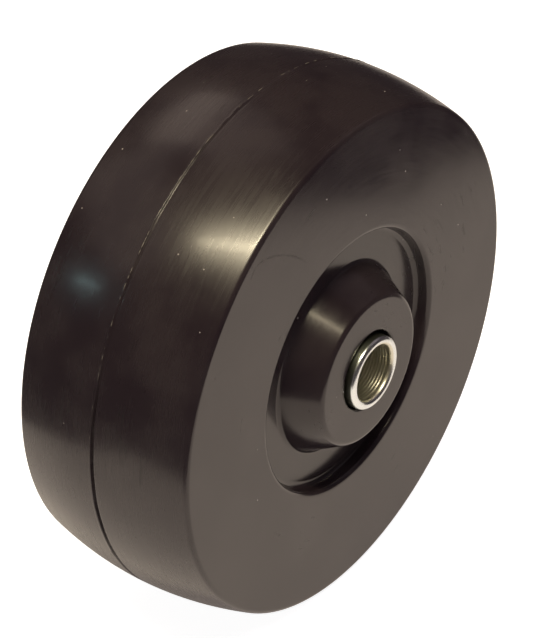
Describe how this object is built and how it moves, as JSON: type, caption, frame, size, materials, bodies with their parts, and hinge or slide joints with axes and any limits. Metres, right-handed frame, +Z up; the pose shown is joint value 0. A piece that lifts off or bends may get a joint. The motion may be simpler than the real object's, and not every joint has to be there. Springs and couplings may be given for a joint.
{
  "type": "rubber trolley wheel",
  "caption": "Solid moulded rubber trolley wheel with a crowned tread, recessed sides and a conical hub, turning on a loose steel sleeve that takes the axle bolt.",
  "frame": {"origin": "the wheel's centre, on its axle line and midway between its side faces", "axes": "+Y along the axle, away from the face that the picture shows; +Z up; the wheel turns about +Y"},
  "size_m": [0.127, 0.0588, 0.127],
  "materials": {
    "black_rubber": "moulded, lightly scuffed satin black",
    "zinc_plated_steel": "bright zinc plate, drawn tube"
  },
  "bodies": {
    "sleeve": {"axle_sleeve": "zinc_plated_steel"},
    "wheel": {"rubber_wheel": "black_rubber"}
  },
  "joints": [
    {"name": "wheel_spin", "type": "hinge", "parent": "sleeve", "child": "wheel", "pos_m": [0, 0, 0], "axis": [0, 1, 0], "continuous": true}
  ]
}
